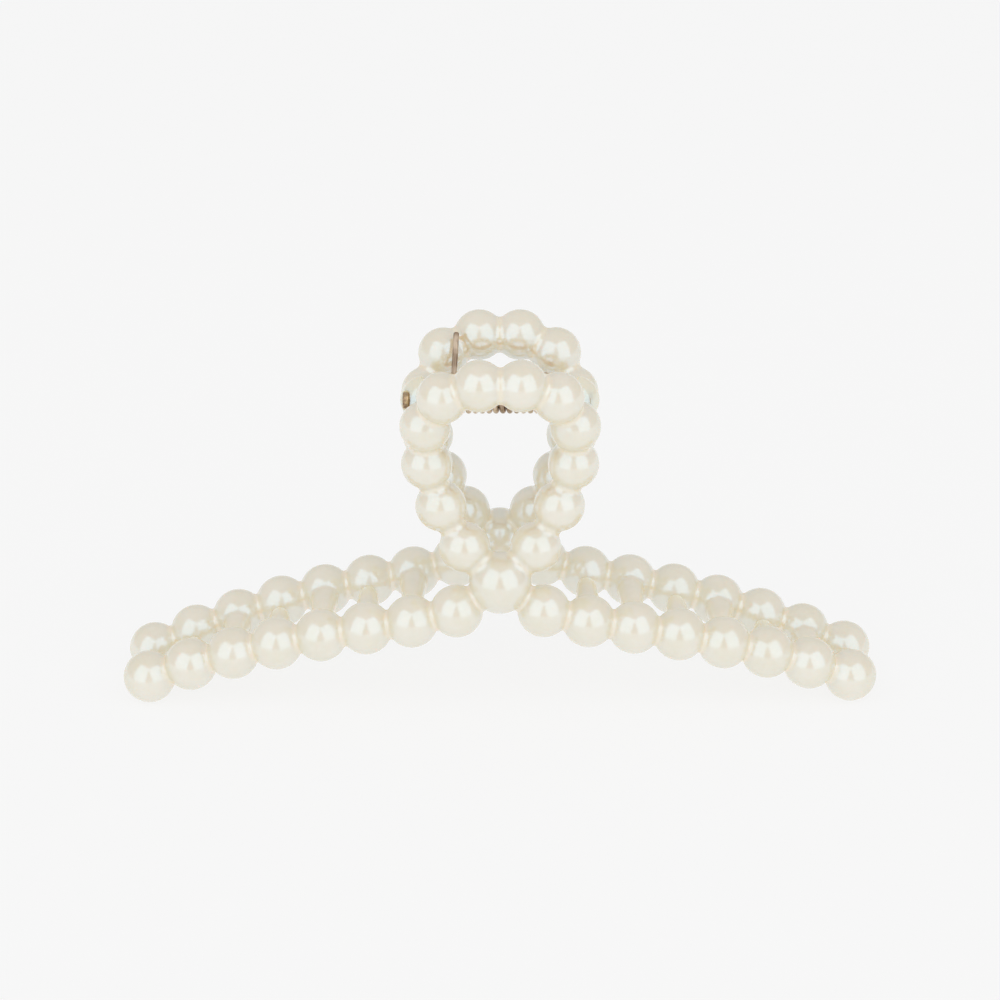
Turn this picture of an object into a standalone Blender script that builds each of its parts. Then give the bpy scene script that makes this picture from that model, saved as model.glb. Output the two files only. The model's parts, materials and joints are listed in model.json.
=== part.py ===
"""Pearl claw clip: two bead-chain jaws on a hinge pin, closed by a torsion spring.

Metres, +Z up.  X runs along the arms, the front jaw is on the -Y side and the back jaw on +Y.
The origin is on the ground under the middle of the clip, which stands on its four tip beads.
The clip is modelled closed, at rest.
"""

import math

import bmesh
import bpy
import numpy as np
from mathutils import Matrix, Vector

MM = 0.001

# ---- driving dimensions -------------------------------------------------------------------
# Beads
BEAD_RADIUS = 3.9 * MM            # along the arms
LOOP_BEAD_RADIUS = 3.75 * MM
CENTRE_BEAD_RADIUS = 4.6 * MM     # at the crossing
BEAD_SEGMENTS = 12
BEAD_RINGS = 8

# Finger loop, a teardrop seen from the front: round above, pinched at the crossing
LOOP_BEADS = 6                    # down each side, from the top to the crossing
LOOP_HALF_HEIGHT = 16.2 * MM
LOOP_WIDTH = 13.5 * MM            # amplitude of the teardrop, wider than its widest point
LOOP_SHOULDER = 0.72              # power that squares its top: 1 leaves it round
LOOP_PINCH = 0.79                 # power that narrows it towards the crossing
LOOP_PITCH_GROWTH = 1.25          # pitch next to the crossing over pitch at the top

# Arms, which leave the crossing steeply, level out and droop towards the tips
ARM_BEADS = 8                     # on each side of the crossing
ARM_FIRST_PITCH = 7.8 * MM        # from the large centre bead to the first bead
ARM_PITCH = 6.9 * MM
ARM_LEVEL_RUN = 5.4 * MM          # distance over which the arm levels out
ARM_DROP_AT_CROSSING = 5.9 * MM
ARM_DROOP_RADIUS = 123.0 * MM
CROSSING_ABOVE_TIP = 17.1 * MM    # from the tip beads' centres up to the centre bead's

# Distance of the beads' centres from the middle plane, seen from the side
WAIST_DEPTH = 5.2 * MM            # narrowest, just under the hinge
WAIST_BELOW_HINGE = 9.6 * MM
FLARE_ABOVE = 18.0                # per metre: how fast the loop flares out above the waist
FLARE_BELOW = 9.2                 # and below it
ARM_DEPTH = 8.5 * MM
ARM_TOE_IN_RADIUS = 360.0 * MM    # the arms close towards each other at the tips

# Hinge
HINGE_ABOVE_CROSSING = 25.9 * MM
PIN_RADIUS = 1.0 * MM
PIN_BORE_RADIUS = 0.6 * MM
PIN_HEAD_RADIUS = 1.2 * MM
PIN_HEAD_LENGTH = 0.9 * MM
PIN_LEFT_END = -14.2 * MM         # the rolled head, which shows on the left ear
PIN_RIGHT_END = 12.8 * MM         # plain, inside the right outer ear
EAR_BORE_RADIUS = 1.08 * MM
BORE_LEFT_END = -18.0 * MM        # clear of the left ear, which is bored through
BORE_RIGHT_END = 13.2 * MM        # blind, inside the right outer ear
EAR_RADIUS = 3.5 * MM
EAR_SET_BACK = 1.7 * MM           # ear's middle behind the pin's axis, towards its own jaw
EAR_SET_DOWN = 0.6 * MM
OUTER_EAR = (11.2 * MM, 16.0 * MM, 11.1 * MM)    # inner face, outer limit, middle of the ball
INNER_EAR = (7.75 * MM, 10.9 * MM, 9.4 * MM)
SEAT_RADIUS = 1.5 * MM            # recess for the pin's head
SEAT_FLOOR = -13.15 * MM

# Torsion spring
WIRE_RADIUS = 0.425 * MM
COIL_RADIUS = 1.545 * MM          # to the middle of the wire
COIL_PITCH = 1.0 * MM
COIL_TURNS = 14                   # less the angle between the two legs
COIL_STEPS = 10                   # points in a turn
LEG_ANGLE = math.radians(41.5)    # above the horizontal, towards its own jaw
BACK_LEG_LENGTH = 10.3 * MM       # left end, against the back jaw
FRONT_LEG_LENGTH = 7.2 * MM       # right end, against the front jaw
LEG_LEAN = 0.05                   # towards the middle, per length of the leg
LEG_POINTS = 4                    # along each leg

# Teeth, short tapered pegs that point across at the other jaw's beads
FIRST_TOOTH = 2                   # arm bead, counted from the crossing
LAST_TOOTH = 7
TOOTH_ROOT_RADIUS = 2.2 * MM
TOOTH_TIP_RADIUS = 1.4 * MM
TOOTH_GAP = 0.45 * MM             # from a tip to the bead that it faces
TOOTH_ROUNDING = 0.5 * MM
TOOTH_SEGMENTS = 12
ROUNDING_STEPS = 2
CIRCULAR = 0.5                    # bevel profile of a round edge

EAR_SEGMENTS = 14
EAR_RINGS = 9
BORE_SEGMENTS = 16
LINE_POINTS = 400                 # points of the fine line that the beads are spaced along
MERGE_DISTANCE = 0.01 * MM

FRONT = -1
BACK = 1
LEFT = -1
RIGHT = 1

# Colours: linear base colour, metallic, roughness
PEARL = ((0.86, 0.82, 0.72), 0.0, 0.28)
COPPER_WIRE = ((0.36, 0.20, 0.12), 1.0, 0.35)
BRASS_PIN = ((0.62, 0.45, 0.26), 1.0, 0.3)

# ---- worked out from them -----------------------------------------------------------------
TIP_HEIGHT = BEAD_RADIUS
CROSSING_Z = TIP_HEIGHT + CROSSING_ABOVE_TIP
HINGE_Z = CROSSING_Z + HINGE_ABOVE_CROSSING
WAIST_Z = HINGE_Z - WAIST_BELOW_HINGE
HINGE = Vector((0.0, 0.0, HINGE_Z))


def clear_scene():
    for obj in list(bpy.data.objects):
        bpy.data.objects.remove(obj, do_unlink=True)


def new_collection(name, hidden=False):
    collection = bpy.data.collections.new(name)
    bpy.context.scene.collection.children.link(collection)
    collection.hide_render = hidden
    return collection


def new_material(name, finish):
    colour, metallic, roughness = finish
    material = bpy.data.materials.new(name)
    material.use_nodes = True
    shader = material.node_tree.nodes["Principled BSDF"]
    shader.inputs["Base Color"].default_value = (*colour, 1.0)
    shader.inputs["Metallic"].default_value = metallic
    shader.inputs["Roughness"].default_value = roughness
    material.diffuse_color = (*colour, 1.0)
    return material


def object_from_bmesh(bm, name, collection):
    mesh = bpy.data.meshes.new(name)
    bm.to_mesh(mesh)
    bm.free()
    obj = bpy.data.objects.new(name, mesh)
    collection.objects.link(obj)
    return obj


def make_helper(obj):
    obj.hide_render = True
    obj.display_type = "WIRE"


# ---- the line that the beads' centres follow ------------------------------------------------
def resample(points, distances):
    """Points at the given distances along a fine polyline."""
    steps = np.linalg.norm(np.diff(points, axis=0), axis=1)
    along = np.concatenate([[0.0], np.cumsum(steps)])
    return np.stack([np.interp(distances, along, points[:, axis]) for axis in range(3)], axis=1)


def line_length(points):
    return np.linalg.norm(np.diff(points, axis=0), axis=1).sum()


def loop_line():
    """Half of the teardrop, from its top at X = 0 down to the crossing, as X, depth and Z."""
    turn = np.linspace(math.pi, 0.0, LINE_POINTS)
    x = LOOP_WIDTH * np.abs(np.sin(turn)) ** LOOP_SHOULDER * np.sin(turn / 2) ** LOOP_PINCH
    z = CROSSING_Z + LOOP_HALF_HEIGHT * (1.0 - np.cos(turn))
    above = z - WAIST_Z
    flare = np.where(above > 0.0, FLARE_ABOVE, FLARE_BELOW)
    depth = WAIST_DEPTH + flare * above**2
    return np.stack([x, depth, z], axis=1)


def arm_line():
    """The arm, from the crossing outwards, as X, depth and Z."""
    reach = ARM_FIRST_PITCH + ARM_PITCH * ARM_BEADS
    x = np.linspace(0.0, reach, LINE_POINTS)
    levelling = ARM_DROP_AT_CROSSING * (np.exp(-x / ARM_LEVEL_RUN) - 1.0)
    z = CROSSING_Z + levelling - x**2 / (2.0 * ARM_DROOP_RADIUS)
    depth = ARM_DEPTH - x**2 / (2.0 * ARM_TOE_IN_RADIUS)
    return np.stack([x, depth, z], axis=1)


def loop_beads():
    """Centres of one side's loop beads, top first."""
    pitches = np.linspace(1.0, LOOP_PITCH_GROWTH, LOOP_BEADS)
    stations = np.cumsum(np.concatenate([[0.5], pitches]))
    line = loop_line()
    return resample(line, stations[:-1] / stations[-1] * line_length(line))


def centre_bead():
    return loop_line()[-1]


def arm_beads():
    """Centres of one side's arm beads, lifted so that the tip bead stands on the ground."""
    distances = ARM_FIRST_PITCH + ARM_PITCH * np.arange(ARM_BEADS)
    beads = resample(arm_line(), distances)
    beads[:, 2] += np.linspace(0.0, TIP_HEIGHT - beads[-1, 2], ARM_BEADS)
    return beads


def in_world(point, across, side):
    """A point given as X, depth and Z, on the left or right and in the front or back jaw."""
    x, depth, z = (float(value) for value in point)
    return Vector((across * x, side * depth, z))


# ---- pieces that a jaw is moulded from ------------------------------------------------------
def add_bead(name, centre, radius, collection):
    bm = bmesh.new()
    bmesh.ops.create_uvsphere(bm, u_segments=BEAD_SEGMENTS, v_segments=BEAD_RINGS, radius=radius)
    bead = object_from_bmesh(bm, name, collection)
    bead.location = centre
    make_helper(bead)
    return bead


def add_tooth(name, bead, side, collection):
    """A peg from a bead's middle, across the gap, to just short of the bead that it faces."""
    reach = 2.0 * abs(bead.y) - BEAD_RADIUS - TOOTH_GAP
    bm = bmesh.new()
    bmesh.ops.create_cone(
        bm,
        cap_ends=True,
        segments=TOOTH_SEGMENTS,
        radius1=TOOTH_ROOT_RADIUS,
        radius2=TOOTH_TIP_RADIUS,
        depth=reach,
    )
    bmesh.ops.translate(bm, verts=bm.verts, vec=(0.0, 0.0, reach / 2.0))
    tip_edges = [edge for edge in bm.edges if all(vert.co.z > reach / 2.0 for vert in edge.verts)]
    bmesh.ops.bevel(
        bm,
        geom=tip_edges,
        offset=TOOTH_ROUNDING,
        segments=ROUNDING_STEPS,
        affect="EDGES",
        profile=CIRCULAR,
    )
    tooth = object_from_bmesh(bm, name, collection)
    tooth.rotation_euler = (side * math.pi / 2.0, 0.0, 0.0)
    tooth.location = bead
    make_helper(tooth)
    return tooth


def add_ear(name, across, side, shape, collection):
    """A ball round the pin, cut square on the faces that look along the pin."""
    inner_face, outer_face, middle = shape
    bm = bmesh.new()
    bmesh.ops.create_uvsphere(bm, u_segments=EAR_SEGMENTS, v_segments=EAR_RINGS, radius=EAR_RADIUS)
    bmesh.ops.translate(bm, verts=bm.verts, vec=(across * middle, 0.0, 0.0))
    for face_x, outward in ((inner_face, -across), (outer_face, across)):
        cut = bmesh.ops.bisect_plane(
            bm,
            geom=bm.verts[:] + bm.edges[:] + bm.faces[:],
            plane_co=(across * face_x, 0.0, 0.0),
            plane_no=(outward, 0.0, 0.0),
            clear_outer=True,
        )
        rim = [item for item in cut["geom_cut"] if isinstance(item, bmesh.types.BMEdge)]
        if rim:
            bmesh.ops.holes_fill(bm, edges=rim)
    ear = object_from_bmesh(bm, name, collection)
    ear.location = HINGE + Vector((0.0, side * EAR_SET_BACK, -EAR_SET_DOWN))
    make_helper(ear)
    return ear


def add_cylinder_cutter(name, radius, start_x, end_x, collection):
    """A cylinder along the pin's axis."""
    bm = bmesh.new()
    bmesh.ops.create_cone(
        bm,
        cap_ends=True,
        segments=BORE_SEGMENTS,
        radius1=radius,
        radius2=radius,
        depth=abs(end_x - start_x),
        matrix=Matrix.Rotation(math.pi / 2.0, 4, "Y"),
    )
    cutter = object_from_bmesh(bm, name, collection)
    cutter.location = HINGE + Vector(((start_x + end_x) / 2.0, 0.0, 0.0))
    make_helper(cutter)
    return cutter


def add_boolean(obj, operation, **operand):
    modifier = obj.modifiers.new(operation.title(), "BOOLEAN")
    modifier.operation = operation
    modifier.solver = "EXACT"
    for key, value in operand.items():
        setattr(modifier, key, value)


# ---- the four pieces ------------------------------------------------------------------------
def has_tooth(station, across, side):
    """Teeth alternate along the arms, and each one faces a bead of the other jaw."""
    if not FIRST_TOOTH <= station <= LAST_TOOTH:
        return False
    is_even = station % 2 == 0
    return is_even == (across * side < 0)


def build_jaw(name, side, ear_shape, collection, material):
    pieces = new_collection(f"{name}_pieces", hidden=True)
    for across in (LEFT, RIGHT):
        hand = "left" if across == LEFT else "right"
        for number, bead in enumerate(loop_beads(), start=1):
            centre = in_world(bead, across, side)
            add_bead(f"{name}_loop_{hand}_{number}", centre, LOOP_BEAD_RADIUS, pieces)
        for number, bead in enumerate(arm_beads(), start=1):
            centre = in_world(bead, across, side)
            add_bead(f"{name}_arm_{hand}_{number}", centre, BEAD_RADIUS, pieces)
            if has_tooth(number, across, side):
                add_tooth(f"{name}_tooth_{hand}_{number}", centre, side, pieces)
        add_ear(f"{name}_ear_{hand}", across, side, ear_shape, pieces)

    bm = bmesh.new()
    bmesh.ops.create_uvsphere(
        bm, u_segments=BEAD_SEGMENTS, v_segments=BEAD_RINGS, radius=CENTRE_BEAD_RADIUS
    )
    bmesh.ops.translate(bm, verts=bm.verts, vec=in_world(centre_bead(), RIGHT, side) - HINGE)
    jaw = object_from_bmesh(bm, name, collection)
    jaw.location = HINGE
    jaw.data.materials.append(material)
    add_boolean(jaw, "UNION", operand_type="COLLECTION", collection=pieces)
    return jaw


def bore_ears(jaw, cutters):
    for cutter in cutters:
        add_boolean(jaw, "DIFFERENCE", object=cutter)


def build_pin(collection, material):
    """A tube with its left end rolled over into a head, turned about the hinge axis."""
    neck_x = PIN_LEFT_END + PIN_HEAD_LENGTH
    profile = [
        (PIN_RIGHT_END, PIN_BORE_RADIUS),
        (PIN_RIGHT_END, PIN_RADIUS),
        (neck_x, PIN_RADIUS),
        (neck_x, PIN_HEAD_RADIUS),
        (PIN_LEFT_END, PIN_HEAD_RADIUS),
        (PIN_LEFT_END, PIN_BORE_RADIUS),
    ]
    bm = bmesh.new()
    verts = [bm.verts.new((x, 0.0, radius)) for x, radius in profile]
    for first, second in zip(verts, verts[1:] + verts[:1]):
        bm.edges.new((first, second))
    pin = object_from_bmesh(bm, "hinge_pin", collection)
    pin.location = HINGE
    screw = pin.modifiers.new("Screw", "SCREW")
    screw.axis = "X"
    screw.angle = 2.0 * math.pi
    screw.steps = BORE_SEGMENTS
    screw.render_steps = BORE_SEGMENTS
    screw.use_merge_vertices = True
    screw.merge_threshold = MERGE_DISTANCE
    pin.data.materials.append(material)
    return pin


def spring_points():
    """The wire's centre line: left leg in from its tip, the coil, and the right leg out to its tip."""
    leave = LEG_ANGLE + math.pi / 2.0
    sweep = COIL_TURNS * 2.0 * math.pi - (2.0 * leave - math.pi)
    steps = round(sweep / (2.0 * math.pi) * COIL_STEPS)
    angle = leave + np.linspace(0.0, sweep, steps + 1)
    half_length = COIL_PITCH * sweep / (4.0 * math.pi)
    x = np.linspace(-half_length, half_length, steps + 1)
    coil = np.stack([x, COIL_RADIUS * np.cos(angle), COIL_RADIUS * np.sin(angle)], axis=1)
    along = np.array([LEG_LEAN, math.cos(LEG_ANGLE), math.sin(LEG_ANGLE)])
    share = np.linspace(1.0, 0.0, LEG_POINTS, endpoint=False)[:, None]
    left_leg = coil[0] + share * BACK_LEG_LENGTH * along
    right_leg = coil[-1] + share[::-1] * FRONT_LEG_LENGTH * along * np.array([-1.0, -1.0, 1.0])
    return np.concatenate([left_leg, coil, right_leg])


def build_spring(collection, material):
    curve = bpy.data.curves.new("torsion_spring", "CURVE")
    curve.dimensions = "3D"
    curve.bevel_depth = WIRE_RADIUS
    curve.bevel_resolution = 2
    curve.use_fill_caps = True
    points = spring_points()
    spline = curve.splines.new("POLY")
    spline.points.add(len(points) - 1)
    spline.points.foreach_set("co", np.column_stack([points, np.ones(len(points))]).ravel())
    spring = bpy.data.objects.new("torsion_spring", curve)
    collection.objects.link(spring)
    spring.location = HINGE
    curve.materials.append(material)
    return spring


def hang_on_hinge(objects, collection):
    """Parents the pieces to an empty on the hinge axis, where they already have their origins."""
    hinge = bpy.data.objects.new("hinge_axis", None)
    collection.objects.link(hinge)
    hinge.location = HINGE
    for obj in objects:
        obj.parent = hinge
        obj.location = (0.0, 0.0, 0.0)


def main():
    clear_scene()
    clip = new_collection("claw_clip")
    cutters = new_collection("claw_clip_cutters", hidden=True)
    pearl = new_material("pearl_lacquer", PEARL)
    copper = new_material("spring_wire", COPPER_WIRE)
    brass = new_material("pin_metal", BRASS_PIN)

    front = build_jaw("front_jaw", FRONT, INNER_EAR, clip, pearl)
    back = build_jaw("back_jaw", BACK, OUTER_EAR, clip, pearl)
    bore = add_cylinder_cutter("pin_bore", EAR_BORE_RADIUS, BORE_LEFT_END, BORE_RIGHT_END, cutters)
    seat = add_cylinder_cutter("pin_seat", SEAT_RADIUS, BORE_LEFT_END, SEAT_FLOOR, cutters)
    bore_ears(front, [bore])
    bore_ears(back, [bore, seat])

    pin = build_pin(clip, brass)
    spring = build_spring(clip, copper)
    hang_on_hinge([front, back, pin, spring], clip)


main()
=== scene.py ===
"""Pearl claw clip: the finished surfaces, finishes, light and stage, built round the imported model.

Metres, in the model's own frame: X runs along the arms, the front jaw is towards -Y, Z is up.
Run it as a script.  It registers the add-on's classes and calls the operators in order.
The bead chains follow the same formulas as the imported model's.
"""

import json
import math

import bpy
import numpy as np
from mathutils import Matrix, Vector


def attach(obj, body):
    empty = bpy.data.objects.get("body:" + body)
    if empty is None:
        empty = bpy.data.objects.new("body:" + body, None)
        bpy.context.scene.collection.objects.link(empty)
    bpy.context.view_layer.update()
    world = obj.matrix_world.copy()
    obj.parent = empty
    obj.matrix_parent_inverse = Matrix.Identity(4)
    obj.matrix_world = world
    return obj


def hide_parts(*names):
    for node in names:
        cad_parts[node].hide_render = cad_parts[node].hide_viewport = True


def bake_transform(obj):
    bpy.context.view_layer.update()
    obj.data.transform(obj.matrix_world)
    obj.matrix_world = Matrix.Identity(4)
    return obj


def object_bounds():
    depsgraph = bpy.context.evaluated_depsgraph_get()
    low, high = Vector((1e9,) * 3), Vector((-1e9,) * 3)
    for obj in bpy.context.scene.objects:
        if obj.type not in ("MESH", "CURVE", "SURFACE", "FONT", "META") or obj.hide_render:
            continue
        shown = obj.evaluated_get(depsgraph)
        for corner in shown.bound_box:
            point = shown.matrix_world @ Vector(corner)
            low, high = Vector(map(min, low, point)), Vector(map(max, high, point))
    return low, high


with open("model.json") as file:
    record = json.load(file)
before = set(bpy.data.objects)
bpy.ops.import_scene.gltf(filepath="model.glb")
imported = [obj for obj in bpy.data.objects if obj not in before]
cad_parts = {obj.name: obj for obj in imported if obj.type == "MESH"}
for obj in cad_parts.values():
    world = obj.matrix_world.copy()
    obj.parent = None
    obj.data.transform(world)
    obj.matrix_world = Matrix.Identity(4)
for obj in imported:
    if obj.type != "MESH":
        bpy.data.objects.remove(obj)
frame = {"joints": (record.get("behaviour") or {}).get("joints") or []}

bl_info = {
    "name": "Pearl claw clip",
    "version": (1, 0, 0),
    "blender": (4, 5, 0),
    "location": "3D View > Sidebar > Claw clip",
    "description": "Builds the surfaces, finishes, light and stage of a bead-chain claw clip",
    "category": "Object",
}

MM = 0.001
CAD_BOX = [list(corner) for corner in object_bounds()]
JAW_HINGE = next(joint for joint in frame["joints"] if joint["name"] == "jaw_hinge")
HINGE = np.array(JAW_HINGE["pos_m"])

FRONT = -1
BACK = 1
LEFT = -1
RIGHT = 1
X_AXIS = np.array([1.0, 0.0, 0.0])
Y_AXIS = np.array([0.0, 1.0, 0.0])
Z_AXIS = np.array([0.0, 0.0, 1.0])

# Fineness of the surfaces
AROUND = 64                     # points round a bead or an ear
HALF_BEAD_RINGS = 9             # rings from a bead's middle to its neck
NECK_RINGS = 6                  # rings across the fillet in a neck
LINE_POINTS = 800               # points of the fine line that the beads are spaced along
WIRE_AROUND = 16
TURN_POINTS = 48                # points in a turn of the coil
DOME_SINK = 0.3 * MM            # how far a strand's hidden end sinks into its ball
NOTCH_SPREAD = 0.8 * MM         # how far the painted warm light reaches out of a notch
SHARP_ANGLE = math.radians(50.0)
SAME_POINT = 0.001 * MM         # points of a profile closer than this are one point

# Scales of the finishes' patterns, in cells per metre
LACQUER_CLOUDS = 260.0
LACQUER_RIPPLE = 620.0
LACQUER_FLAKES = 2600.0
WIRE_PATCHES = 420.0
BRASS_CLOUDS = 700.0
BRASS_RINGS = 160.0
FLOOR_GRAIN = 90.0

# The stage
FLOOR_REACH = 6.0               # half of the floor's side, in metres
CAMERA_NEAR = 0.01              # nearest that the camera sees, in metres
FLOOR_SHADE = (0.15, 0.15, 0.15)
FLOOR_LIGHT = (0.155, 0.155, 0.155)


# ---- settings -------------------------------------------------------------------------------
def length(name, description, millimetres):
    """A length property, given in millimetres and held in metres."""
    return bpy.props.FloatProperty(
        name=name,
        description=description,
        default=millimetres * MM,
        precision=5,
        subtype="DISTANCE",
        unit="LENGTH",
    )


def factor(name, description, value, top=1.0):
    """A plain number from nought to top."""
    return bpy.props.FloatProperty(
        name=name, description=description, default=value, min=0.0, max=top, subtype="FACTOR"
    )


def degrees(name, description, value):
    return bpy.props.FloatProperty(
        name=name,
        description=description,
        default=math.radians(value),
        subtype="ANGLE",
        unit="ROTATION",
    )


def colour(name, description, value):
    return bpy.props.FloatVectorProperty(
        name=name, description=description, default=value, min=0.0, max=1.0, subtype="COLOR"
    )


class ClawClipBeads(bpy.types.PropertyGroup):
    """Sizes of the bead chains that both jaws are moulded as."""

    radius: length("Bead radius", "Radius of an arm's beads", 3.9)
    loop_radius: length("Loop bead radius", "Radius of a loop's beads", 3.75)
    centre_radius: length("Middle bead radius", "Radius of the bead at the crossing", 4.6)
    arm_fillet: length("Arm fillet", "Radius of the hollow where two of an arm's beads meet", 0.5)
    loop_fillet: length("Loop fillet", "Radius of the hollow where two of a loop's beads meet", 1.0)
    crossing_drop: length("Crossing drop", "Middle bead's centre below the hinge", 25.9)
    loop_half_height: length("Loop half height", "Half of the finger loop's height", 16.2)
    loop_width: length("Loop width", "Amplitude of the teardrop that the loop follows", 13.5)
    loop_shoulder: factor("Loop shoulder", "Power that squares the loop's top", 0.72)
    loop_pinch: factor("Loop pinch", "Power that narrows the loop to the crossing", 0.79)
    loop_growth: factor("Loop pitch growth", "Pitch at the crossing over pitch at the top", 1.25, 2.0)
    waist_depth: length("Waist depth", "Loop's least distance from the middle plane", 5.2)
    waist_drop: length("Waist drop", "Height of the hinge above the waist", 9.6)
    flare_above: factor("Flare above", "How fast the loop flares above the waist, per metre", 18.0, 50.0)
    flare_below: factor("Flare below", "How fast the loop flares below the waist, per metre", 9.2, 50.0)
    arm_first_pitch: length("First arm pitch", "From the middle bead to the arm's first bead", 7.8)
    arm_pitch: length("Arm pitch", "Distance between the arm's beads", 6.9)
    arm_level_run: length("Level run", "Distance over which an arm levels out", 5.4)
    arm_drop: length("Arm drop", "How far an arm drops at the crossing", 5.9)
    arm_droop: length("Arm droop radius", "Radius of the arm's droop to its tip", 123.0)
    arm_depth: length("Arm depth", "Arm's distance from the middle plane at the crossing", 8.5)
    arm_toe_in: length("Toe-in radius", "Radius on which the arms close to each other", 360.0)


class ClawClipTeeth(bpy.types.PropertyGroup):
    """Sizes of the pegs that point across at the other jaw."""

    root: length("Root radius", "Radius where a tooth leaves its bead", 2.05)
    tip: length("Tip radius", "Radius at a tooth's end", 1.4)
    gap: length("Gap", "From a tooth's end to the bead that it faces", 0.45)
    fillet: length("Root fillet", "Radius of the hollow round a tooth's root", 0.9)
    rounding: length("Tip rounding", "Rounding of a tooth's end", 0.65)


class ClawClipEars(bpy.types.PropertyGroup):
    """Sizes of the hinge ears moulded on the loops."""

    radius: length("Ear radius", "Radius of the ball that an ear is cut from", 3.5)
    set_back: length("Set back", "Ear's middle from the pin towards its own jaw", 1.7)
    set_down: length("Set down", "Ear's middle below the pin", 0.6)
    edge: length("Edge rounding", "Rounding of an ear's cut faces", 0.4)
    bore: length("Bore radius", "Radius of the hole for the pin", 1.08)
    seat: length("Seat radius", "Radius of the recess for the pin's head", 1.5)
    seat_floor: length("Seat floor", "Distance of the recess's floor from the middle", 13.15)
    blind_end: length("Bore end", "Distance of the bore's right end from the middle", 13.2)


class ClawClipMetal(bpy.types.PropertyGroup):
    """Sizes of the pin and the spring."""

    pin_radius: length("Pin radius", "Outer radius of the tube", 1.0)
    pin_bore: length("Pin bore", "Inner radius of the tube", 0.6)
    pin_head: length("Pin head", "Outer radius of the rolled head", 1.2)
    pin_head_length: length("Pin head length", "Length of the rolled head", 0.9)
    pin_left: length("Pin left end", "From the middle to the head's end", 14.2)
    pin_right: length("Pin right end", "From the middle to the plain end", 12.8)
    pin_edge: length("Pin edge", "Rounding of the head's edges", 0.2)
    wire: length("Wire radius", "Radius of the spring's wire", 0.425)
    coil: length("Coil radius", "Radius of the coil, to the wire's middle", 1.545)
    coil_pitch: length("Coil pitch", "Advance of the coil in one turn", 1.0)
    back_leg: length("Back leg", "Length of the left leg, against the back jaw", 10.3)
    front_leg: length("Front leg", "Length of the right leg, against the front jaw", 7.2)
    leg_lean: factor("Leg lean", "Lean of a leg towards the middle, per length", 0.05)
    leg_angle: degrees("Leg angle", "Angle of a leg above the horizontal", 41.5)


class ClawClipFinish(bpy.types.PropertyGroup):
    """Colours of the lacquer and the metals, linear."""

    pearl: colour("Pearl", "The lacquer's cream", (0.70, 0.55, 0.35))
    pearl_light: colour("Pearl light", "Where the pigment floats up", (0.73, 0.58, 0.41))
    # Painted light: a warmer, lighter cream for the notches that stands in for the warm light seen in them.
    pearl_notch_glow: colour("Painted notch glow", "Painted warm light in the notches", (0.88, 0.68, 0.37))
    nacre: colour("Nacre", "Tint of the pigment's reflection", (0.43, 0.75, 1.0))
    through: colour("Light through", "The light that comes through the plastic", (1.0, 0.88, 0.63))
    through_strength: factor("Light through strength", "Strength of that light", 0.19)
    wire_dark: colour("Wire shade", "The wire's tarnish", (0.20, 0.12, 0.07))
    wire_light: colour("Wire light", "The wire's bright bronze", (0.74, 0.60, 0.46))
    brass: colour("Brass", "The pin's bright metal", (0.74, 0.55, 0.33))
    brass_dark: colour("Brass shade", "The pin's tarnish", (0.20, 0.13, 0.09))


class ClawClipStage(bpy.types.PropertyGroup):
    """The camera, the lights and the floor."""

    elevation: degrees("Camera elevation", "Camera's height above the horizon", 25.0)
    azimuth: degrees("Camera azimuth", "Camera's turn round the clip", -0.28)
    distance: length("Camera distance", "From the camera to the aim point", 461.2)
    aim_rise: length("Aim rise", "Aim point above the middle of the model's box", 2.33)
    focal: bpy.props.FloatProperty(
        name="Focal length", description="Lens's focal length", default=112.1, subtype="DISTANCE_CAMERA"
    )
    softbox_turn: degrees("Softbox turn", "Angle of each softbox from the camera's line", 42.0)
    softbox_width: degrees("Softbox width", "Angle that a softbox covers, sideways", 56.0)
    softbox_height: degrees("Softbox height", "Angle that a softbox covers, upwards", 80.0)
    softbox_distance: length("Softbox distance", "From a softbox to the clip", 800.0)
    softbox_power: factor("Softbox power", "Power of each softbox, in watts", 2.05, 100.0)
    fill_width: degrees("Fill width", "Angle that the fill light covers", 24.0)
    fill_power: factor("Fill power", "Power of the fill light by the camera, in watts", 0.1, 100.0)
    surround: factor("Surround", "Brightness of the white room", 0.69, 4.0)
    floor_glow: factor("Floor glow", "Light that the floor gives of itself", 0.79, 4.0)


SETTING_GROUPS = {
    "claw_clip_beads": ClawClipBeads,
    "claw_clip_teeth": ClawClipTeeth,
    "claw_clip_ears": ClawClipEars,
    "claw_clip_metal": ClawClipMetal,
    "claw_clip_finish": ClawClipFinish,
    "claw_clip_stage": ClawClipStage,
}

ARM_BEADS = 8                   # on each side of the crossing
LOOP_BEADS = 6                  # down each side of a loop
FIRST_TOOTH = 2                 # arm bead, counted from the crossing
LAST_TOOTH = 7
COIL_TURNS = 14                 # less the angle between the two legs
OUTER_EAR = (11.2 * MM, 16.0 * MM, 11.1 * MM)    # inner face, outer limit, middle of the ball
INNER_EAR = (7.75 * MM, 10.9 * MM, 9.4 * MM)


# ---- shared geometry ------------------------------------------------------------------------
def unit(vectors):
    return vectors / np.linalg.norm(vectors, axis=-1, keepdims=True)


def resample(points, distances):
    """Points at the given distances along a fine polyline, read off between its own points."""
    steps = np.linalg.norm(np.diff(points, axis=0), axis=1)
    along = np.concatenate([[0.0], np.cumsum(steps)])
    return np.stack([np.interp(distances, along, points[:, axis]) for axis in range(3)], axis=1)


def line_length(points):
    return np.linalg.norm(np.diff(points, axis=0), axis=1).sum()


def arc(centre, radius, start, end, steps):
    """Points of an arc in a profile: centre + radius (cos, sin), as distance along and radius out."""
    angle = np.linspace(start, end, steps)
    return np.stack([centre[0] + radius * np.cos(angle), centre[1] + radius * np.sin(angle)], axis=1)


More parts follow.
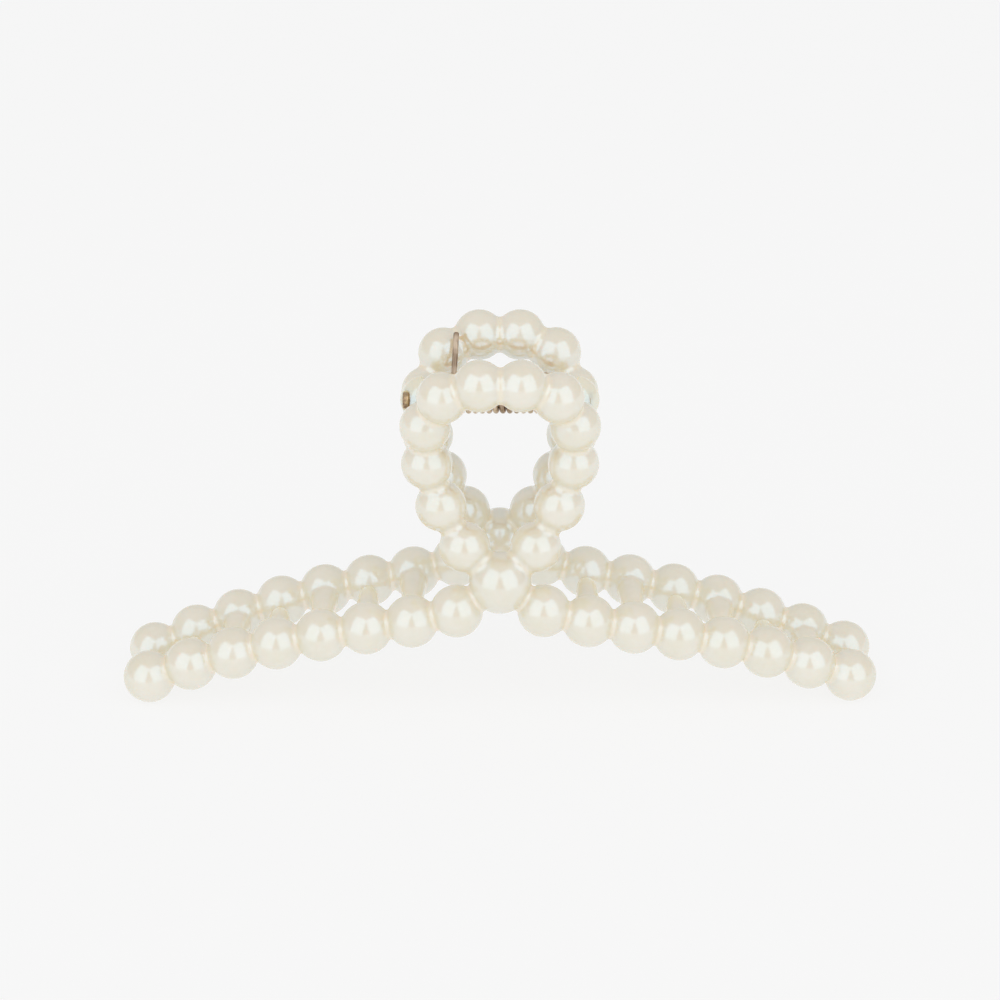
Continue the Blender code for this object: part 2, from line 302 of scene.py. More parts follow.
def circles(centres, normals, radii, reference, around=AROUND):
    """Rings of points: centre + radius (cos a u + sin a v) for a from 0 to a full turn.

    u is the reference direction made square to the ring's normal, and v is the normal crossed
    with u, so the rings of one path never twist against each other.
    """
    u = unit(reference - (normals @ reference)[:, None] * normals)
    v = np.cross(normals, u)
    angle = np.linspace(0.0, 2.0 * math.pi, around, endpoint=False)
    swing = np.cos(angle)[:, None] * u[:, None] + np.sin(angle)[:, None] * v[:, None]
    return centres[:, None] + radii[:, None, None] * swing


def turned(profile, origin, axis, reference, around=AROUND):
    """Rings of a turned shape: origin + along x axis, with the profile's radius at each step."""
    centres = origin + profile[:, :1] * axis
    normals = np.broadcast_to(axis, centres.shape)
    return circles(centres, normals, profile[:, 1], reference, around)


def mesh_from(name, points, faces, corners=None):
    """A mesh object at the origin, shaded smooth, with an optional UV for each face corner."""
    mesh = bpy.data.meshes.new(name)
    mesh.from_pydata(points, [], faces)
    if corners is not None:
        layer = mesh.uv_layers.new(name="along")
        layer.data.foreach_set("uv", corners.astype(np.float32).ravel())
    mesh.shade_smooth()
    obj = bpy.data.objects.new(name, mesh)
    bpy.context.scene.collection.objects.link(obj)
    return obj


def strip_faces(index):
    """Quads between each row of indices and the next, and across the seam of each row."""
    beside = np.roll(index, -1, axis=1)
    return np.stack([index[:-1], beside[:-1], beside[1:], index[1:]], axis=-1).reshape(-1, 4)


def closed_tube(name, rings):
    """A closed skin over rings: quads between neighbours and a fan to the single point of each end.

    The UV map holds the distance along the tube, in metres, and the share of the way round it.
    """
    body = rings[1:-1]
    count, around = body.shape[:2]
    index = np.arange(count * around).reshape(count, around)
    beside = np.roll(index, -1, axis=1)
    first_pole = np.full(around, count * around)
    fans = np.concatenate(
        [
            np.stack([first_pole, beside[0], index[0]], axis=1),
            np.stack([index[-1], beside[-1], first_pole + 1], axis=1),
        ]
    )
    points = np.concatenate([body.reshape(-1, 3), rings[0, :1], rings[-1, :1]])

    middles = rings.mean(axis=1)
    steps = np.linalg.norm(np.diff(middles, axis=0), axis=1)
    along = np.concatenate([[0.0], np.cumsum(steps)])
    share = np.arange(around + 1) / around
    low = np.broadcast_to(share[:-1], (count - 1, around))
    high = np.broadcast_to(share[1:], (count - 1, around))
    start = np.broadcast_to(along[1:-2, None], low.shape)
    end = np.broadcast_to(along[2:-1, None], low.shape)
    quad_corners = np.stack([start, low, start, high, end, high, end, low], axis=-1).reshape(-1, 2)
    pole_u = np.repeat([along[0], along[-1]], around)
    edge_u = np.repeat([along[1], along[-2]], around)
    left, right = np.tile(share[:-1], 2), np.tile(share[1:], 2)
    first = np.stack([pole_u, (left + right) / 2, edge_u, right, edge_u, left], axis=-1)[:around]
    last = np.stack([edge_u, left, edge_u, right, pole_u, (left + right) / 2], axis=-1)[around:]
    corners = np.concatenate([quad_corners, first.reshape(-1, 2), last.reshape(-1, 2)])
    return mesh_from(name, points.tolist(), strip_faces(index).tolist() + fans.tolist(), corners)


def joined_ring(name, rings):
    """A skin over rings that run round and meet again, such as a tube with a bore."""
    count, around = rings.shape[:2]
    index = np.arange(count * around).reshape(count, around)
    looped = np.concatenate([index, index[:1]])
    return mesh_from(name, rings.reshape(-1, 3).tolist(), strip_faces(looped).tolist())


# ---- the lines that the beads follow ----------------------------------------------------------
def loop_line(beads):
    """Half of the teardrop, from its top to the crossing, as X, depth and Z.

    With t falling from pi to 0: X = width |sin t|^shoulder sin(t/2)^pinch,
    Z = crossing + half height (1 - cos t), depth = waist + flare (Z - waist height)^2.
    """
    turn = np.linspace(math.pi, 0.0, LINE_POINTS)
    shoulder = np.abs(np.sin(turn)) ** beads.loop_shoulder
    x = beads.loop_width * shoulder * np.sin(turn / 2.0) ** beads.loop_pinch
    z = (HINGE[2] - beads.crossing_drop) + beads.loop_half_height * (1.0 - np.cos(turn))
    above = z - (HINGE[2] - beads.waist_drop)
    flare = np.where(above > 0.0, beads.flare_above, beads.flare_below)
    return np.stack([x, beads.waist_depth + flare * above**2, z], axis=1)


def arm_line(beads):
    """An arm from the crossing outwards, as X, depth and Z.

    Z = crossing + drop (exp(-X / run) - 1) - X^2 / (2 droop), depth = depth - X^2 / (2 toe-in).
    """
    reach = beads.arm_first_pitch + beads.arm_pitch * ARM_BEADS
    x = np.linspace(0.0, reach, LINE_POINTS)
    levelling = beads.arm_drop * (np.exp(-x / beads.arm_level_run) - 1.0)
    z = (HINGE[2] - beads.crossing_drop) + levelling - x**2 / (2.0 * beads.arm_droop)
    return np.stack([x, beads.arm_depth - x**2 / (2.0 * beads.arm_toe_in), z], axis=1)


def loop_centres(beads):
    """One side's loop beads, top first, at pitches that grow evenly towards the crossing."""
    pitches = np.linspace(1.0, beads.loop_growth, LOOP_BEADS)
    stations = np.cumsum(np.concatenate([[0.5], pitches]))
    line = loop_line(beads)
    return resample(line, stations[:-1] / stations[-1] * line_length(line))


def arm_centres(beads):
    """One side's arm beads, lifted evenly so that the tip bead stands on the ground."""
    distances = beads.arm_first_pitch + beads.arm_pitch * np.arange(ARM_BEADS)
    centres = resample(arm_line(beads), distances)
    centres[:, 2] += np.linspace(0.0, beads.radius - centres[-1, 2], ARM_BEADS)
    return centres


def on_side(centres, across, side):
    """Mirrors X, depth and Z to the left or right and to the front or back jaw."""
    return centres * np.array([across, side, 1.0])


# ---- the jaws' surfaces -----------------------------------------------------------------------
def ball_rings(centre, normals, ball, polar):
    """Rings on a ball: each at its polar angle from its own normal, centre + ball cos(polar) normal."""
    centres = centre + (ball * np.cos(polar))[:, None] * normals
    return centres, normals, ball * np.sin(polar)


def strand_rings(centres, radii, fillet, sink, ends_free):
    """Rings along a chain of balls joined by filleted necks.

    On a ball the rings tilt from the plane that halves the chain's bend to the plane square to
    the chord.  A neck is an arc of the fillet's radius whose centre lies the two radii plus the
    fillet from both balls, so that it touches both.  A strand starts inside its first ball, on a
    dome that sinks from the neck to the given depth, and ends so too unless its end is free.
    """
    chords = np.diff(centres, axis=0)
    pitch = np.linalg.norm(chords, axis=1)
    axis = chords / pitch[:, None]
    bend = unit(np.concatenate([axis[:1], axis[:-1] + axis[1:], axis[-1:]]))
    here, there = radii[:-1] + fillet, radii[1:] + fillet
    along = (pitch**2 + here**2 - there**2) / (2.0 * pitch)
    out = np.sqrt(here**2 - along**2)
    leave = np.arccos(along / here)
    arrive = np.arccos((pitch - along) / there)
    share = np.linspace(0.0, 1.0, HALF_BEAD_RINGS, endpoint=False)
    rings = []
    for span in range(len(pitch)):
        square = np.broadcast_to(axis[span], (HALF_BEAD_RINGS, 3))
        if span == 0:
            ball = radii[0] - sink * (1.0 - share)
            rings.append(ball_rings(centres[0], square, ball, leave[0] * share))
        else:
            tilted = unit(bend[span] + share[:, None] * (axis[span] - bend[span]))
            polar = math.pi / 2.0 + share * (leave[span] - math.pi / 2.0)
            rings.append(ball_rings(centres[span], tilted, np.full(len(share), radii[span]), polar))

        to_here = math.atan2(-out[span], -along[span])
        to_there = math.atan2(-out[span], pitch[span] - along[span])
        neck = arc((along[span], out[span]), fillet, to_here, to_there, NECK_RINGS)
        normals = np.broadcast_to(axis[span], (NECK_RINGS, 3))
        rings.append((centres[span] + neck[:, :1] * normals, normals, neck[:, 1]))

        after = share + share[1]
        last = span == len(pitch) - 1
        if last and not ends_free:
            ball = radii[-1] - sink * after
            polar = math.pi - arrive[span] * (1.0 - after)
            rings.append(ball_rings(centres[-1], square, ball, polar))
        else:
            tilted = unit(axis[span] + after[:, None] * (bend[span + 1] - axis[span]))
            polar = math.pi - arrive[span] - after * (math.pi / 2.0 - arrive[span])
            rings.append(ball_rings(centres[span + 1], tilted, np.full(len(share), radii[span + 1]), polar))
    if ends_free:
        polar = np.linspace(math.pi / 2.0, 0.0, 2 * HALF_BEAD_RINGS)[1:]
        square = np.broadcast_to(axis[-1], (len(polar), 3))
        rings.append(ball_rings(centres[-1], square, np.full(len(polar), radii[-1]), polar))
    return [np.concatenate(group) for group in zip(*rings)]


def add_strand(name, centres, radii, fillet, ends_free):
    """The skin over one chain of balls."""
    middle, normals, ring_radii = strand_rings(centres, radii, fillet, DOME_SINK, ends_free)
    return closed_tube(name, circles(middle, normals, ring_radii, Y_AXIS))


def add_ball(name, centre, radius):
    """A ball as a turned half circle: along = radius cos, out = radius sin."""
    profile = arc((0.0, 0.0), radius, math.pi, 0.0, 4 * HALF_BEAD_RINGS)
    return closed_tube(name, turned(profile, centre, X_AXIS, Z_AXIS))


def add_tooth(name, bead, side, beads, teeth):
    """A turned peg from a bead towards the other jaw.

    Its profile is a dome hidden in the bead, a fillet that touches the bead and the peg's root,
    a straight taper, and a rounded end.
    """
    reach = 2.0 * abs(bead[1]) - beads.radius - teeth.gap
    touch_out = teeth.root + teeth.fillet
    touch_ball = beads.radius + teeth.fillet
    fillet_along = math.sqrt(touch_ball**2 - touch_out**2)
    polar = math.asin(touch_out / touch_ball)
    dome_share = np.linspace(0.0, 1.0, HALF_BEAD_RINGS, endpoint=False)
    ball = beads.radius - DOME_SINK * (1.0 - dome_share)
    dome = np.stack([ball * np.cos(polar * dome_share), ball * np.sin(polar * dome_share)], axis=1)
    hollow = arc(
        (fillet_along, touch_out), teeth.fillet, polar - math.pi, -math.pi / 2.0, 2 * NECK_RINGS
    )
    shoulder = (reach - teeth.rounding, teeth.tip - teeth.rounding)
    end = arc(shoulder, teeth.rounding, math.pi / 2.0, 0.0, NECK_RINGS)
    hollow[:, 0] = np.minimum(hollow[:, 0], shoulder[0])
    profile = np.concatenate([dome, hollow, end, [[reach, 0.0]]])
    return closed_tube(name, turned(profile, bead, -side * Y_AXIS, Z_AXIS))


def add_ear(name, across, side, shape, ears):
    """A turned ear: a ball between two flat faces, with both edges rounded.

    An edge's rounding is an arc inside the ball that touches the ball and the face.  A face
    beyond the ball cuts nothing, and the ball runs on to its pole.
    """
    inner_face, outer_face, middle = shape
    inside = ears.radius - ears.edge
    start = inner_face - middle + ears.edge
    start_out = math.sqrt(inside**2 - start**2)
    start_polar = math.atan2(start_out, start)
    parts = [[[inner_face - middle, 0.0]]]
    parts.append(arc((start, start_out), ears.edge, math.pi, start_polar, NECK_RINGS))
    finish = outer_face - middle - ears.edge
    if finish < inside:
        finish_out = math.sqrt(inside**2 - finish**2)
        finish_polar = math.atan2(finish_out, finish)
        parts.append(arc((0.0, 0.0), ears.radius, start_polar, finish_polar, 2 * HALF_BEAD_RINGS)[1:-1])
        parts.append(arc((finish, finish_out), ears.edge, finish_polar, 0.0, NECK_RINGS))
        parts.append([[outer_face - middle, 0.0]])
    else:
        parts.append(arc((0.0, 0.0), ears.radius, start_polar, 0.0, 4 * HALF_BEAD_RINGS)[1:])
    centre = HINGE + np.array([across * middle, side * ears.set_back, -ears.set_down])
    return closed_tube(name, turned(np.concatenate(parts), centre, across * X_AXIS, Z_AXIS))


def add_pin_cutter(name, ears):
    """The hole through the ears: wide outside the left seat's floor, ending in the right outer ear.

    That ear's ball is set off from the pin, so on its thin side the bore's end comes through the
    ball by about a tenth of a millimetre and leaves a small slit.
    """
    far = 2.0 * ears.seat_floor
    profile = np.array(
        [
            [-far, 0.0],
            [-far, ears.seat],
            [-ears.seat_floor, ears.seat],
            [-ears.seat_floor, ears.bore],
            [ears.blind_end, ears.bore],
            [ears.blind_end, 0.0],
        ]
    )
    return closed_tube(name, turned(profile, HINGE, X_AXIS, Z_AXIS, AROUND // 2))


def combine(body, operation, others):
    """Joins or cuts with a Boolean, keeps the result as the body's mesh, and removes the others."""
    collection = bpy.data.collections.new("operands")
    bpy.context.scene.collection.children.link(collection)
    for other in others:
        bpy.context.scene.collection.objects.unlink(other)
        collection.objects.link(other)
    modifier = body.modifiers.new(operation.title(), "BOOLEAN")
    modifier.operation = operation
    modifier.solver = "MANIFOLD"
    modifier.operand_type = "COLLECTION"
    modifier.collection = collection
    evaluated = body.evaluated_get(bpy.context.evaluated_depsgraph_get())
    result = bpy.data.meshes.new_from_object(evaluated)
    if len(result.polygons) <= len(body.data.polygons) // 2:
        raise RuntimeError(f"{body.name}: the {operation.lower()} came out empty")
    body.modifiers.clear()
    body.data = result
    for other in others:
        bpy.data.objects.remove(other, do_unlink=True)
    bpy.data.collections.remove(collection)


def mark_notches(obj, centres, radii, spread):
    """Stores how much of the painted warm light each vertex gets, as a point attribute named notch.

    With d the distance from the vertex to the second nearest ball's surface, the value is
    exp(-(d / spread)^2): 1 where two balls meet and 0 on a bead's free side.  On what stands out
    of the balls, the teeth and the ears, it is half of 1 - exp(-(e / spread)^2) for the distance e
    to the nearest ball, and the larger of the two counts.
    """
    mesh = obj.data
    points = np.empty(len(mesh.vertices) * 3, np.float32)
    mesh.vertices.foreach_get("co", points)
    gaps = np.linalg.norm(points.reshape(-1, 1, 3) - centres[None], axis=2) - radii
    nearest, second = np.partition(gaps, 1, axis=1)[:, :2].clip(min=0.0).T
    between = np.exp(-((second / spread) ** 2))
    standing_out = 0.5 - 0.5 * np.exp(-((nearest / spread) ** 2))
    # painted light: share of the warm, lighter notch colour, full where beads meet and half on the teeth
    # and ears
    notch_glow = np.maximum(between, standing_out)
    notch = mesh.attributes.new("notch", "FLOAT", "POINT")
    notch.data.foreach_set("value", notch_glow.astype(np.float32))


def has_tooth(station, across, side):
    """Teeth alternate along the arms, and each one faces a bead of the other jaw."""
    if not FIRST_TOOTH <= station <= LAST_TOOTH:
        return False
    return (station % 2 == 0) == (across * side < 0)


def build_jaw(name, side, ear_shape, scene):
    """One moulding: the loop's strand and two arms' strands from the middle bead, teeth and ears."""
    beads, teeth, ears = scene.claw_clip_beads, scene.claw_clip_teeth, scene.claw_clip_ears
    middle = on_side(loop_line(beads)[-1:], RIGHT, side)
    loops = {across: on_side(loop_centres(beads), across, side) for across in (LEFT, RIGHT)}
    ring = np.concatenate([middle, loops[RIGHT][::-1], loops[LEFT], middle])
    ring_radii = np.full(len(ring), beads.loop_radius)
    ring_radii[[0, -1]] = beads.centre_radius
    jaw = add_strand(name, ring, ring_radii, beads.loop_fillet, ends_free=False)

    pieces = [add_ball(f"{name}_middle", middle[0], beads.centre_radius)]
    balls = [ring]
    for across in (LEFT, RIGHT):
        arm = on_side(arm_centres(beads), across, side)
        chain = np.concatenate([middle, arm])
        chain_radii = np.full(len(chain), beads.radius)
        chain_radii[0] = beads.centre_radius
        pieces.append(add_strand(f"{name}_arm", chain, chain_radii, beads.arm_fillet, ends_free=True))
        balls.append(arm)
        for station, bead in enumerate(arm, start=1):
            if has_tooth(station, across, side):
                pieces.append(add_tooth(f"{name}_tooth", bead, side, beads, teeth))
        pieces.append(add_ear(f"{name}_ear", across, side, ear_shape, ears))
    combine(jaw, "UNION", pieces)
    combine(jaw, "DIFFERENCE", [add_pin_cutter(f"{name}_bore", ears)])

    balls = np.concatenate([ring[:-1], *balls[1:]])
    radii = np.concatenate([ring_radii[:-1], np.full(2 * ARM_BEADS, beads.radius)])
    mark_notches(jaw, balls, radii, NOTCH_SPREAD)
    jaw.data.set_sharp_from_angle(angle=SHARP_ANGLE)
    return jaw


# ---- the pin and the spring -------------------------------------------------------------------
def pin_profile(metal):
    """The tube's outline, from the head's mouth out over the head, along the wall and back inside.

    The head's mouth is a quarter of an ellipse that leads out of the bore to the very end, and
    its two edges are quarter circles.  The plain end has one small round edge.  A point that
    repeats the one before it is dropped, as the foot does where the head's edge ends on the wall.
    """
    end = -metal.pin_left
    neck = end + metal.pin_head_length
    edge = metal.pin_edge
    rim = metal.pin_head - edge
    depth = rim - metal.pin_bore
    rise = np.linspace(0.0, math.pi / 2.0, 2 * NECK_RINGS)[:-1]
    mouth = np.stack([end + depth * (1.0 - np.sin(rise)), rim - depth * np.cos(rise)], axis=1)
    front_edge = arc((end + edge, rim), edge, math.pi, math.pi / 2.0, NECK_RINGS)
    back_edge = arc((neck - edge, rim), edge, math.pi / 2.0, 0.0, NECK_RINGS)
    foot = [[neck, metal.pin_radius]]
    right_edge = arc(
        (metal.pin_right - edge, metal.pin_radius - edge), edge, math.pi / 2.0, 0.0, NECK_RINGS
    )
    inside = [[metal.pin_right, metal.pin_bore]]
    outline = np.concatenate([mouth, front_edge, back_edge, foot, right_edge, inside])
    steps = np.linalg.norm(outline - np.roll(outline, 1, axis=0), axis=1)
    return outline[steps > SAME_POINT]


def wire_line(metal):
    """The wire's middle: in along the left leg, round the coil and out along the right leg.

    A turn of the coil is X = pitch a / turn, (Y, Z) = radius (cos a, sin a), and each leg runs
    straight on from the coil's end along its tangent.
    """
    leave = metal.leg_angle + math.pi / 2.0
    sweep = COIL_TURNS * 2.0 * math.pi - (2.0 * leave - math.pi)
    steps = round(sweep / (2.0 * math.pi) * TURN_POINTS)
    angle = leave + np.linspace(0.0, sweep, steps + 1)
    half = metal.coil_pitch * sweep / (4.0 * math.pi)
    x = np.linspace(-half, half, steps + 1)
    coil = np.stack([x, metal.coil * np.cos(angle), metal.coil * np.sin(angle)], axis=1)
    slope = np.array([metal.leg_lean, math.cos(metal.leg_angle), math.sin(metal.leg_angle)])
    share = np.linspace(1.0, 0.0, TURN_POINTS, endpoint=False)[:, None]
    left = coil[0] + share * metal.back_leg * slope
    right = coil[-1] + share[::-1] * metal.front_leg * slope * np.array([-1.0, -1.0, 1.0])
    return HINGE + np.concatenate([left, coil, right])


# ---- finishes ---------------------------------------------------------------------------------
class Finish:
    """A material with one Principled shader, and short calls to place and join its nodes."""

    def __init__(self, name, **sockets):
        self.material = bpy.data.materials.new(name)
        self.material.use_nodes = True
        self.tree = self.material.node_tree
        self.shader = self.tree.nodes["Principled BSDF"]
        for socket, value in sockets.items():
            self.shader.inputs[socket.replace("_", " ")].default_value = value
        self.coordinates = self.tree.nodes.new("ShaderNodeTexCoord")

    def node(self, kind, **inputs):
        """A node whose inputs are set, or joined where the value is another node's output."""
        made = self.tree.nodes.new(kind)
        for key, value in inputs.items():
            self.put(made.inputs[key.replace("_", " ")], value)
        return made

    def put(self, socket, value):
        if isinstance(value, bpy.types.NodeSocket):
            self.tree.links.new(value, socket)
        else:
            socket.default_value = value

    def noise(self, vector, scale, detail=2.0, roughness=0.5):
        made = self.node("ShaderNodeTexNoise", Vector=vector, Scale=scale, Detail=detail)
        made.inputs["Roughness"].default_value = roughness
        return made.outputs["Fac"]

    def stretch(self, vector, scale):
        return self.node("ShaderNodeMapping", Vector=vector, Scale=scale).outputs["Vector"]

    def span(self, value, low, high, low_to, high_to):
        """Maps low..high to low_to..high_to, held at both ends."""
        made = self.tree.nodes.new("ShaderNodeMapRange")
        for key, number in zip(("From Min", "From Max", "To Min", "To Max"), (low, high, low_to, high_to)):
            made.inputs[key].default_value = number
        self.put(made.inputs["Value"], value)
        return made.outputs["Result"]

    def blend(self, share, first, second):
        """A mix of two colours."""
        made = self.tree.nodes.new("ShaderNodeMix")
        made.data_type = "RGBA"
        for key, value in (("Factor_Float", share), ("A_Color", first), ("B_Color", second)):
            socket = next(item for item in made.inputs if item.identifier == key)
            self.put(socket, value if isinstance(value, (float, bpy.types.NodeSocket)) else (*value, 1.0))
        return next(item for item in made.outputs if item.identifier == "Result_Color")

    def attribute(self, name):
        made = self.tree.nodes.new("ShaderNodeAttribute")
        made.attribute_name = name
        return made.outputs["Fac"]

    def bump(self, height, strength, distance, under=None):
        made = self.node("ShaderNodeBump", Height=height, Strength=strength, Distance=distance)
        if under is not None:
            self.put(made.inputs["Normal"], under)
        return made.outputs["Normal"]

    def use(self, **sockets):
        for key, value in sockets.items():
            self.put(self.shader.inputs[key.replace("_", " ")], value)


def pearl_lacquer(finish):
    """Cream pearl lacquer: clouded pigment, satin, with a painted warm glow in the notches.

    A weak warm glow stands in for the light that passes through the plastic from all sides.
    """
    made = Finish(
        "pearl_lacquer",
        Metallic=0.0,
        IOR=2.47,
        Specular_IOR_Level=1.0,
        Specular_Tint=(*finish.nacre, 1.0),
        Coat_Weight=0.3,
        Coat_Roughness=0.08,
        Coat_IOR=1.5,
        Emission_Color=(*finish.through, 1.0),
        Emission_Strength=finish.through_strength,
        Subsurface_Weight=0.6,
        Subsurface_Scale=4.0 * MM,
        Subsurface_Radius=(1.0, 0.8, 0.55),
    )
    place = made.coordinates.outputs["Object"]
    clouds = made.noise(place, LACQUER_CLOUDS, 3.0, 0.55)
    flakes = made.noise(place, LACQUER_FLAKES, 2.0, 0.6)
    ripple = made.noise(made.stretch(place, (1.0, 1.0, 2.5)), LACQUER_RIPPLE, 2.0, 0.5)
    pigment = made.blend(made.span(clouds, 0.35, 0.65, 0.0, 1.0), finish.pearl, finish.pearl_light)
    # painted light: the notch share blends in a warmer, lighter cream that stands in for warm light in the
    # hollows
    notch = made.span(made.attribute("notch"), 0.25, 1.0, 0.0, 0.75)
    made.use(Base_Color=made.blend(notch, pigment, finish.pearl_notch_glow))
    made.use(Roughness=made.span(flakes, 0.3, 0.7, 0.15, 0.20))
    skin = made.bump(ripple, 0.06, 0.2 * MM)
    made.use(Normal=made.bump(flakes, 0.04, 0.04 * MM, skin))
    return made.material


def drawn_wire(finish):
    """Bronze-toned spring wire: fine die lines along it, tarnish in patches, bright where rubbed."""
    made = Finish("spring_wire", Metallic=1.0, Anisotropic=0.4, Coat_Weight=0.1, Coat_Roughness=0.2)
    along = made.coordinates.outputs["UV"]
    lines = made.noise(made.stretch(along, (120.0, 26.0, 1.0)), 1.0, 3.0, 0.6)
    patches = made.noise(made.coordinates.outputs["Object"], WIRE_PATCHES, 2.0, 0.5)
    tarnish = made.span(patches, 0.38, 0.62, 0.0, 1.0)
    worn = made.blend(tarnish, finish.wire_dark, finish.wire_light)
    made.use(Base_Color=made.blend(made.span(lines, 0.3, 0.7, 0.0, 0.6), worn, finish.wire_light))
    made.use(Roughness=made.span(lines, 0.3, 0.7, 0.22, 0.42))
    made.use(Normal=made.bump(lines, 0.05, 0.02 * MM))
    return made.material


def rolled_brass(finish):
    """Brass tube: turning marks round it, tarnish in clouds."""
    made = Finish("pin_metal", Metallic=1.0, Anisotropic=0.3)
    place = made.coordinates.outputs["Object"]
    rings = made.noise(made.stretch(place, (30.0, 1.0, 1.0)), BRASS_RINGS, 2.0, 0.5)
    clouds = made.noise(place, BRASS_CLOUDS, 3.0, 0.6)
    tarnish = made.span(clouds, 0.35, 0.6, 0.0, 1.0)
    made.use(Base_Color=made.blend(tarnish, finish.brass_dark, finish.brass))
    made.use(Roughness=made.span(rings, 0.3, 0.7, 0.2, 0.38))
    made.use(Normal=made.bump(rings, 0.1, 0.02 * MM))
    return made.material


def pale_floor(stage):
    """A pale matt sweep that glows a little, so that it stays even under the clip."""
    made = Finish(
        "pale_floor",
        Roughness=0.9,
        Specular_IOR_Level=0.1,
        Emission_Color=(1.0, 1.0, 1.0, 1.0),
        Emission_Strength=stage.floor_glow,
    )
    grain = made.noise(made.coordinates.outputs["Object"], FLOOR_GRAIN, 2.0, 0.5)
    made.use(Base_Color=made.blend(grain, FLOOR_SHADE, FLOOR_LIGHT))
    return made.material


# ---- operators --------------------------------------------------------------------------------
class CLAWCLIP_OT_jaws(bpy.types.Operator):
    """Build both jaws' mouldings in pearl lacquer"""

    bl_idname = "claw_clip.jaws"
    bl_label = "Build jaws"

    def execute(self, context):
        material = pearl_lacquer(context.scene.claw_clip_finish)
        for node, side, ear_shape in (("front_jaw", FRONT, INNER_EAR), ("back_jaw", BACK, OUTER_EAR)):
            jaw = build_jaw(f"{node}_moulding", side, ear_shape, context.scene)
            jaw.data.materials.clear()
            jaw.data.materials.append(material)
            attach(jaw, node)
            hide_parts(node)
        return {"FINISHED"}


class CLAWCLIP_OT_hinge_pin(bpy.types.Operator):
    """Build the tube that the jaws turn on, with its left end rolled over"""

    bl_idname = "claw_clip.hinge_pin"
    bl_label = "Build hinge pin"

    def execute(self, context):
        profile = pin_profile(context.scene.claw_clip_metal)
        pin = joined_ring("hinge_pin_tube", turned(profile, HINGE, X_AXIS, Z_AXIS, AROUND // 2))
        pin.data.materials.append(rolled_brass(context.scene.claw_clip_finish))
        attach(pin, "back_jaw")
        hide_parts("hinge_pin")
        return {"FINISHED"}


class CLAWCLIP_OT_torsion_spring(bpy.types.Operator):
    """Build the spring round the pin, which winds up as the jaws open"""

    bl_idname = "claw_clip.torsion_spring"
    bl_label = "Build torsion spring"

    def execute(self, context):
        metal = context.scene.claw_clip_metal
        line = wire_line(metal)
        total = line_length(line)
        edge = metal.wire / 2.0
        ease = edge * np.linspace(0.0, 1.0, NECK_RINGS) ** 2
        step = 2.0 * math.pi * metal.coil / TURN_POINTS
        body = np.linspace(edge, total - edge, round((total - 2.0 * edge) / step))
        distances = np.concatenate([ease[:-1], body, total - ease[-2::-1]])
        centres = resample(line, distances)
        normals = unit(np.gradient(centres, distances, axis=0))
        short = 1.0 - np.minimum(np.minimum(distances, total - distances), edge) / edge
        radii = metal.wire * np.sqrt(1.0 - short**2)
        rings = circles(centres, normals, radii, X_AXIS, WIRE_AROUND)
        spring = closed_tube("torsion_spring_wire", rings)
        spring.data.materials.append(drawn_wire(context.scene.claw_clip_finish))
        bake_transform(spring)
        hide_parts("torsion_spring")
        return {"FINISHED"}


def aim(obj, target):
    """Turns a camera or light to look at a point."""
    obj.rotation_euler = (Vector(target) - obj.location).to_track_quat("-Z", "Y").to_euler()


def direction(azimuth, elevation):
    """The unit vector from the clip towards a place at this azimuth and elevation."""
    level = math.cos(elevation)
    return Vector((math.sin(azimuth) * level, -math.cos(azimuth) * level, math.sin(elevation)))


def add_softbox(name, target, azimuth, elevation, distance, size, power):
    """A rectangular area light of the given width and height that faces the clip."""
    light = bpy.data.lights.new(name, "AREA")
    light.shape = "RECTANGLE"
    light.size, light.size_y = size
    light.energy = power
    obj = bpy.data.objects.new(name, light)
    bpy.context.scene.collection.objects.link(obj)
    obj.location = target + distance * direction(azimuth, elevation)
    aim(obj, target)
    return obj


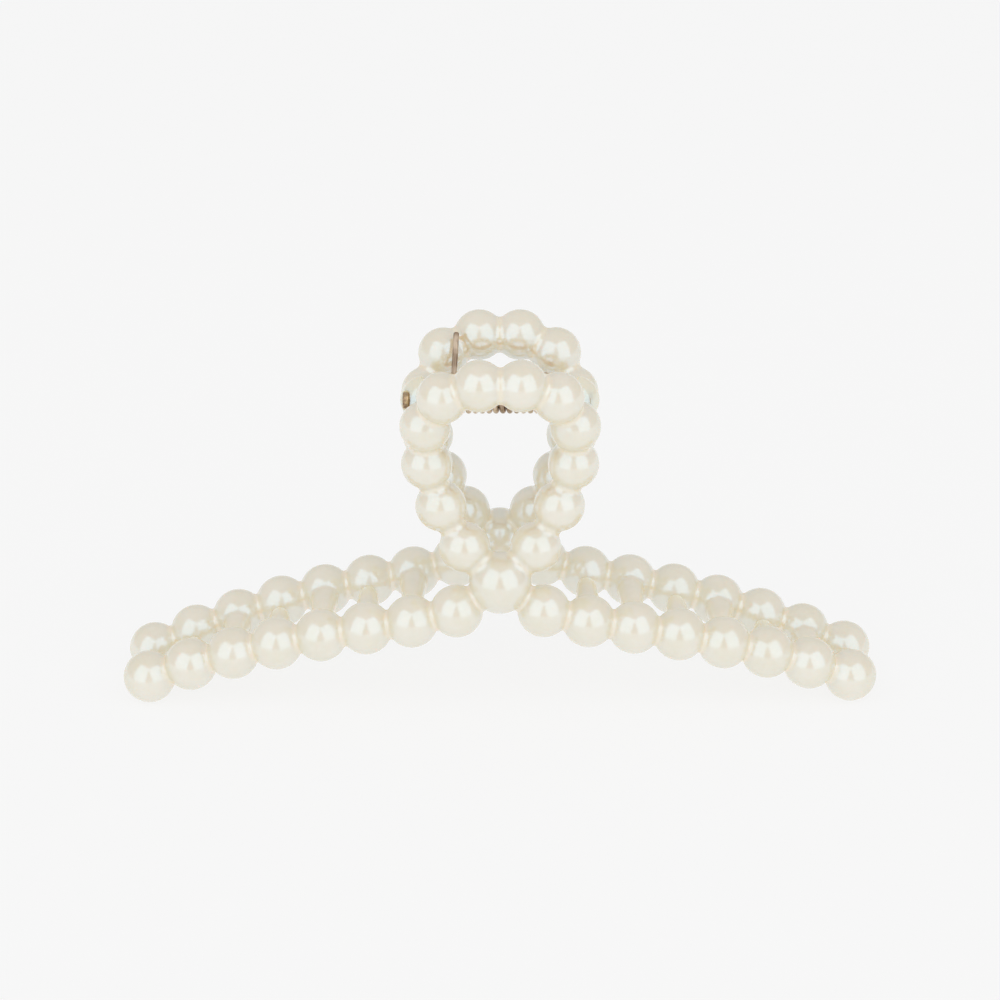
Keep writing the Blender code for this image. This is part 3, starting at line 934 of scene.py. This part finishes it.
class CLAWCLIP_OT_stage(bpy.types.Operator):
    """Build the floor, the white room, the softboxes, the fill light and the camera"""

    bl_idname = "claw_clip.stage"
    bl_label = "Build stage"

    def execute(self, context):
        scene = context.scene
        stage = scene.claw_clip_stage
        low, high = (Vector(corner) for corner in CAD_BOX)
        target = (low + high) / 2.0 + Vector((0.0, 0.0, stage.aim_rise))

        turns = ((-1, -1), (1, -1), (1, 1), (-1, 1))
        corners = [(across * FLOOR_REACH, away * FLOOR_REACH, 0.0) for across, away in turns]
        floor = mesh_from("floor", corners, [(0, 1, 2, 3)])
        floor.data.materials.append(pale_floor(stage))

        world = bpy.data.worlds.new("white_room")
        scene.world = world
        world.use_nodes = True
        background = world.node_tree.nodes["Background"]
        background.inputs["Color"].default_value = (1.0, 1.0, 1.0, 1.0)
        background.inputs["Strength"].default_value = stage.surround

        width = 2.0 * stage.softbox_distance * math.tan(stage.softbox_width / 2.0)
        height = 2.0 * stage.softbox_distance * math.tan(stage.softbox_height / 2.0)
        for name, side in (("softbox_left", LEFT), ("softbox_right", RIGHT)):
            add_softbox(
                name,
                target,
                stage.azimuth + side * stage.softbox_turn,
                stage.elevation,
                stage.softbox_distance,
                (width, height),
                stage.softbox_power,
            )
        fill_side = 2.0 * stage.softbox_distance * math.tan(stage.fill_width / 2.0)
        fill = add_softbox(
            "fill",
            target,
            stage.azimuth,
            stage.elevation,
            stage.softbox_distance,
            (fill_side, fill_side),
            stage.fill_power,
        )
        fill.visible_glossy = False

        camera = bpy.data.objects.new("camera", bpy.data.cameras.new("camera"))
        scene.collection.objects.link(camera)
        camera.data.lens = stage.focal
        camera.data.clip_start = CAMERA_NEAR
        camera.location = target + stage.distance * direction(stage.azimuth, stage.elevation)
        aim(camera, target)
        scene.camera = camera
        scene.view_settings.view_transform = "Standard"
        return {"FINISHED"}


class CLAWCLIP_PT_sidebar(bpy.types.Panel):
    """Lists the clip's operators and settings in the sidebar"""

    bl_idname = "CLAWCLIP_PT_sidebar"
    bl_label = "Claw clip"
    bl_space_type = "VIEW_3D"
    bl_region_type = "UI"
    bl_category = "Claw clip"

    def draw(self, context):
        for operator in OPERATORS:
            self.layout.operator(operator.bl_idname)
        for name in SETTING_GROUPS:
            group = getattr(context.scene, name)
            box = self.layout.box()
            box.label(text=name.replace("_", " ").capitalize())
            for key in group.__annotations__:
                box.prop(group, key)


OPERATORS = (CLAWCLIP_OT_jaws, CLAWCLIP_OT_hinge_pin, CLAWCLIP_OT_torsion_spring, CLAWCLIP_OT_stage)


def register():
    for group in SETTING_GROUPS.values():
        bpy.utils.register_class(group)
    for name, group in SETTING_GROUPS.items():
        setattr(bpy.types.Scene, name, bpy.props.PointerProperty(type=group))
    for operator in OPERATORS:
        bpy.utils.register_class(operator)
    bpy.utils.register_class(CLAWCLIP_PT_sidebar)


def unregister():
    bpy.utils.unregister_class(CLAWCLIP_PT_sidebar)
    for operator in reversed(OPERATORS):
        bpy.utils.unregister_class(operator)
    for name, group in reversed(SETTING_GROUPS.items()):
        delattr(bpy.types.Scene, name)
        bpy.utils.unregister_class(group)


def main():
    register()
    bpy.ops.claw_clip.jaws()
    bpy.ops.claw_clip.hinge_pin()
    bpy.ops.claw_clip.torsion_spring()
    bpy.ops.claw_clip.stage()


if __name__ == "__main__":
    main()
